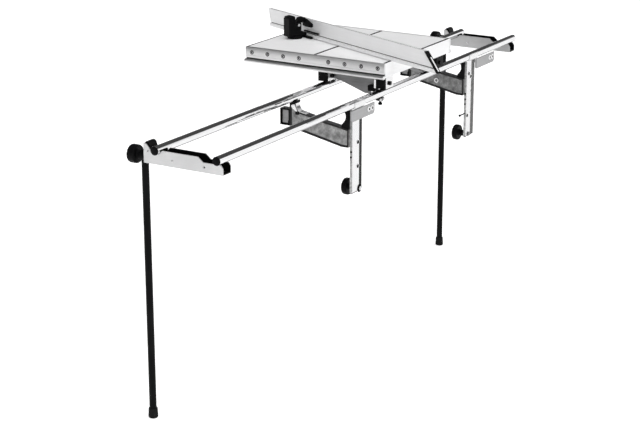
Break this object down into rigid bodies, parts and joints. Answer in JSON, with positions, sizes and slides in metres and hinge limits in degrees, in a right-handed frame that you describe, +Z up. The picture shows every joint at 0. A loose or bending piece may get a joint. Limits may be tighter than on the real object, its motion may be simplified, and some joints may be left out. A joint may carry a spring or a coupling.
{
  "type": "sliding table attachment for a panel saw",
  "caption": "Sliding table for a panel saw: a rolling aluminium table with a swivelling mitre fence on a pair of round rails, with hangers for the saw and folding legs.",
  "frame": {"origin": "on the floor, under the middle of the whole object's box at rest", "axes": "+X along the rails from the front end (nearer the viewer) to the rear end; +Y across the rails, from the rail beside the saw to the outer rail; +Z up"},
  "size_m": [1.861, 0.8204, 0.979],
  "materials": {
    "chromed_steel": "polished, mirror-bright",
    "plated_steel": "bright zinc plating",
    "aluminium": "satin, lightly brushed",
    "cast_aluminium": "rough cast, grey",
    "sheet_steel": "dull grey",
    "black_steel": "black powder coat",
    "black_plastic": "semi-matte moulded",
    "rubber": "matte"
  },
  "bodies": {
    "root": {"rail_inner": "chromed_steel", "rail_outer": "chromed_steel", "rail_plug_inner_front": "black_plastic", "rail_plug_inner_rear": "black_plastic", "rail_plug_outer_front": "black_plastic", "rail_plug_outer_rear": "black_plastic", "end_bracket_front": "aluminium", "end_bracket_rear": "aluminium", "end_block_front": "black_plastic", "end_block_rear": "black_plastic", "leg_bolt_front": "plated_steel", "leg_bolt_rear": "plated_steel", "hanger_post_front": "aluminium", "hanger_post_rear": "aluminium", "support_arm_front": "cast_aluminium", "support_arm_rear": "cast_aluminium", "rail_column_front": "black_plastic", "rail_column_rear": "black_plastic", "arm_clip_front": "black_steel", "arm_clip_rear": "black_steel", "mounting_plate_front": "aluminium", "mounting_plate_rear": "aluminium"},
    "table": {"table_panel_inner": "aluminium", "table_panel_outer": "aluminium", "front_profile": "aluminium", "rear_profile": "aluminium", "cross_plate_front": "sheet_steel", "cross_plate_rear": "sheet_steel", "axle_plate_front": "aluminium", "axle_plate_rear": "aluminium", "roller_housing_inner_front": "black_plastic", "roller_housing_inner_rear": "black_plastic", "roller_housing_outer_front": "black_plastic", "roller_housing_outer_rear": "black_plastic", "roller_axle_inner_front": "plated_steel", "roller_axle_inner_rear": "plated_steel", "roller_axle_outer_front": "plated_steel", "roller_axle_outer_rear": "plated_steel", "mitre_base": "black_plastic", "mitre_pin": "plated_steel"},
    "roller_inner_front": {"track_roller_inner_front": "black_plastic"},
    "roller_inner_rear": {"track_roller_inner_rear": "black_plastic"},
    "roller_outer_front": {"track_roller_outer_front": "black_plastic"},
    "roller_outer_rear": {"track_roller_outer_rear": "black_plastic"},
    "mitre_head": {"mitre_head": "black_plastic", "lever_pin": "plated_steel"},
    "fence": {"fence_profile": "aluminium"},
    "mitre_lever": {"mitre_lever": "black_plastic"},
    "leg_front": {"leg_tube_front": "black_steel", "leg_foot_front": "rubber", "leg_head_front": "black_plastic"},
    "leg_rear": {"leg_tube_rear": "black_steel", "leg_foot_rear": "rubber", "leg_head_rear": "black_plastic"},
    "leg_knob_front": {"leg_knob_front": "black_plastic"},
    "leg_knob_rear": {"leg_knob_rear": "black_plastic"},
    "clamp_front": {"clamp_stud_front": "plated_steel", "clamp_knob_front": "black_plastic"},
    "clamp_rear": {"clamp_stud_rear": "plated_steel", "clamp_knob_rear": "black_plastic"}
  },
  "joints": [
    {"name": "table_slide", "type": "slide", "parent": "root", "child": "table", "axis": [1, 0, 0], "range_m": [-0.766, 0.5]},
    {"name": "roller_inner_front_spin", "type": "hinge", "parent": "table", "child": "roller_inner_front", "pos_m": [-0.016, -0.1621, 0.8299], "axis": [0, 1, 0], "range_deg": [-2540, 1660]},
    {"name": "roller_inner_rear_spin", "type": "hinge", "parent": "table", "child": "roller_inner_rear", "pos_m": [0.321, -0.1621, 0.8299], "axis": [0, 1, 0], "range_deg": [-2540, 1660]},
    {"name": "roller_outer_front_spin", "type": "hinge", "parent": "table", "child": "roller_outer_front", "pos_m": [-0.016, 0.0379, 0.8299], "axis": [0, 1, 0], "range_deg": [-2540, 1660]},
    {"name": "roller_outer_rear_spin", "type": "hinge", "parent": "table", "child": "roller_outer_rear", "pos_m": [0.321, 0.0379, 0.8299], "axis": [0, 1, 0], "range_deg": [-2540, 1660]},
    {"name": "mitre_swivel", "type": "hinge", "parent": "table", "child": "mitre_head", "pos_m": [0.1035, 0.2283, 0.9133], "axis": [0, 0, 1], "range_deg": [-36, 84]},
    {"name": "fence_slide", "type": "slide", "parent": "mitre_head", "child": "fence", "axis": [0.4051, 0.9143, 0], "range_m": [-0.15, 0.25]},
    {"name": "lever_lift", "type": "hinge", "parent": "mitre_head", "child": "mitre_lever", "pos_m": [0.10899, 0.22587, 0.948], "axis": [-0.4051, -0.9143, 0], "range_deg": [0, 40]},
    {"name": "leg_front_fold", "type": "hinge", "parent": "root", "child": "leg_front", "pos_m": [-0.896, 0.0919, 0.774], "axis": [0, -1, 0], "range_deg": [0, 90]},
    {"name": "leg_knob_front_turn", "type": "hinge", "parent": "root", "child": "leg_knob_front", "pos_m": [-0.896, 0.1024, 0.774], "axis": [0, 1, 0], "continuous": true},
    {"name": "clamp_front_turn", "type": "hinge", "parent": "root", "child": "clamp_front", "pos_m": [-0.169, -0.1511, 0.533], "axis": [0, 1, 0], "continuous": true},
    {"name": "leg_rear_fold", "type": "hinge", "parent": "root", "child": "leg_rear", "pos_m": [0.896, 0.0919, 0.774], "axis": [0, 1, 0], "range_deg": [0, 90]},
    {"name": "leg_knob_rear_turn", "type": "hinge", "parent": "root", "child": "leg_knob_rear", "pos_m": [0.896, 0.1024, 0.774], "axis": [0, 1, 0], "continuous": true},
    {"name": "clamp_rear_turn", "type": "hinge", "parent": "root", "child": "clamp_rear", "pos_m": [0.58, -0.1511, 0.533], "axis": [0, 1, 0], "continuous": true}
  ],
  "couplings": [
    {"joint": "roller_inner_front_spin", "follows": "table_slide", "rad_per_m": 57.471},
    {"joint": "roller_inner_rear_spin", "follows": "table_slide", "rad_per_m": 57.471},
    {"joint": "roller_outer_front_spin", "follows": "table_slide", "rad_per_m": 57.471},
    {"joint": "roller_outer_rear_spin", "follows": "table_slide", "rad_per_m": 57.471}
  ]
}
